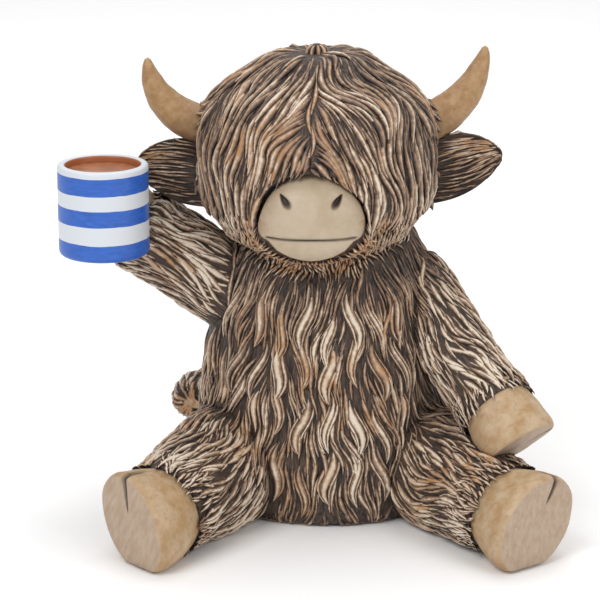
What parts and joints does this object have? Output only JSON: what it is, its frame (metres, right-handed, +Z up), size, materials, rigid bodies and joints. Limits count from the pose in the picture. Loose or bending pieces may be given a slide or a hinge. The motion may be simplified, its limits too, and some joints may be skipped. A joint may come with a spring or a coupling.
{
  "type": "seated cow figurine",
  "caption": "Seated long-haired cow figurine with curved horns, a mop of hair over its eyes and one arm raised to hold up a striped mug; a hand-painted cast ornament for a shelf.",
  "frame": {"origin": "centre of the felt's underside, on the table under the middle of the torso", "axes": "+X towards the cow's left side, which is the viewer's right, +Y towards its back, +Z up"},
  "size_m": [0.1502, 0.1196, 0.1424],
  "materials": {
    "coat": "cast resin painted in browns, dark in the grooves, dry-brushed tan and cream on the crests",
    "muzzle_paint": "cast resin painted cream with a thin brown wash",
    "horn_paint": "cast resin painted ochre, darker towards the root",
    "hoof_paint": "cast resin painted tan with greyer soles",
    "mug_paint": "cast resin painted with blue and white bands, satin",
    "drink_tint": "tinted resin fill, satin",
    "felt": "pressed felt, self-adhesive",
    "plug": "moulded bung",
    "pin_steel": "cut wire"
  },
  "bodies": {
    "root": {"torso": "coat", "base_plug": "plug", "base_felt": "felt", "foot_pads": "felt", "head": "coat", "fringe": "coat", "muzzle": "muzzle_paint", "right_horn": "horn_paint", "left_horn": "horn_paint", "horn_pins": "pin_steel", "right_ear": "coat", "left_ear": "coat", "right_arm": "coat", "left_arm": "coat", "right_leg": "coat", "left_leg": "coat", "limb_pins": "pin_steel", "right_fore_hoof": "hoof_paint", "left_fore_hoof": "hoof_paint", "right_hind_hoof": "hoof_paint", "left_hind_hoof": "hoof_paint", "tail": "coat", "mug": "mug_paint", "drink": "drink_tint", "mug_pin": "pin_steel"}
  },
  "joints": []
}
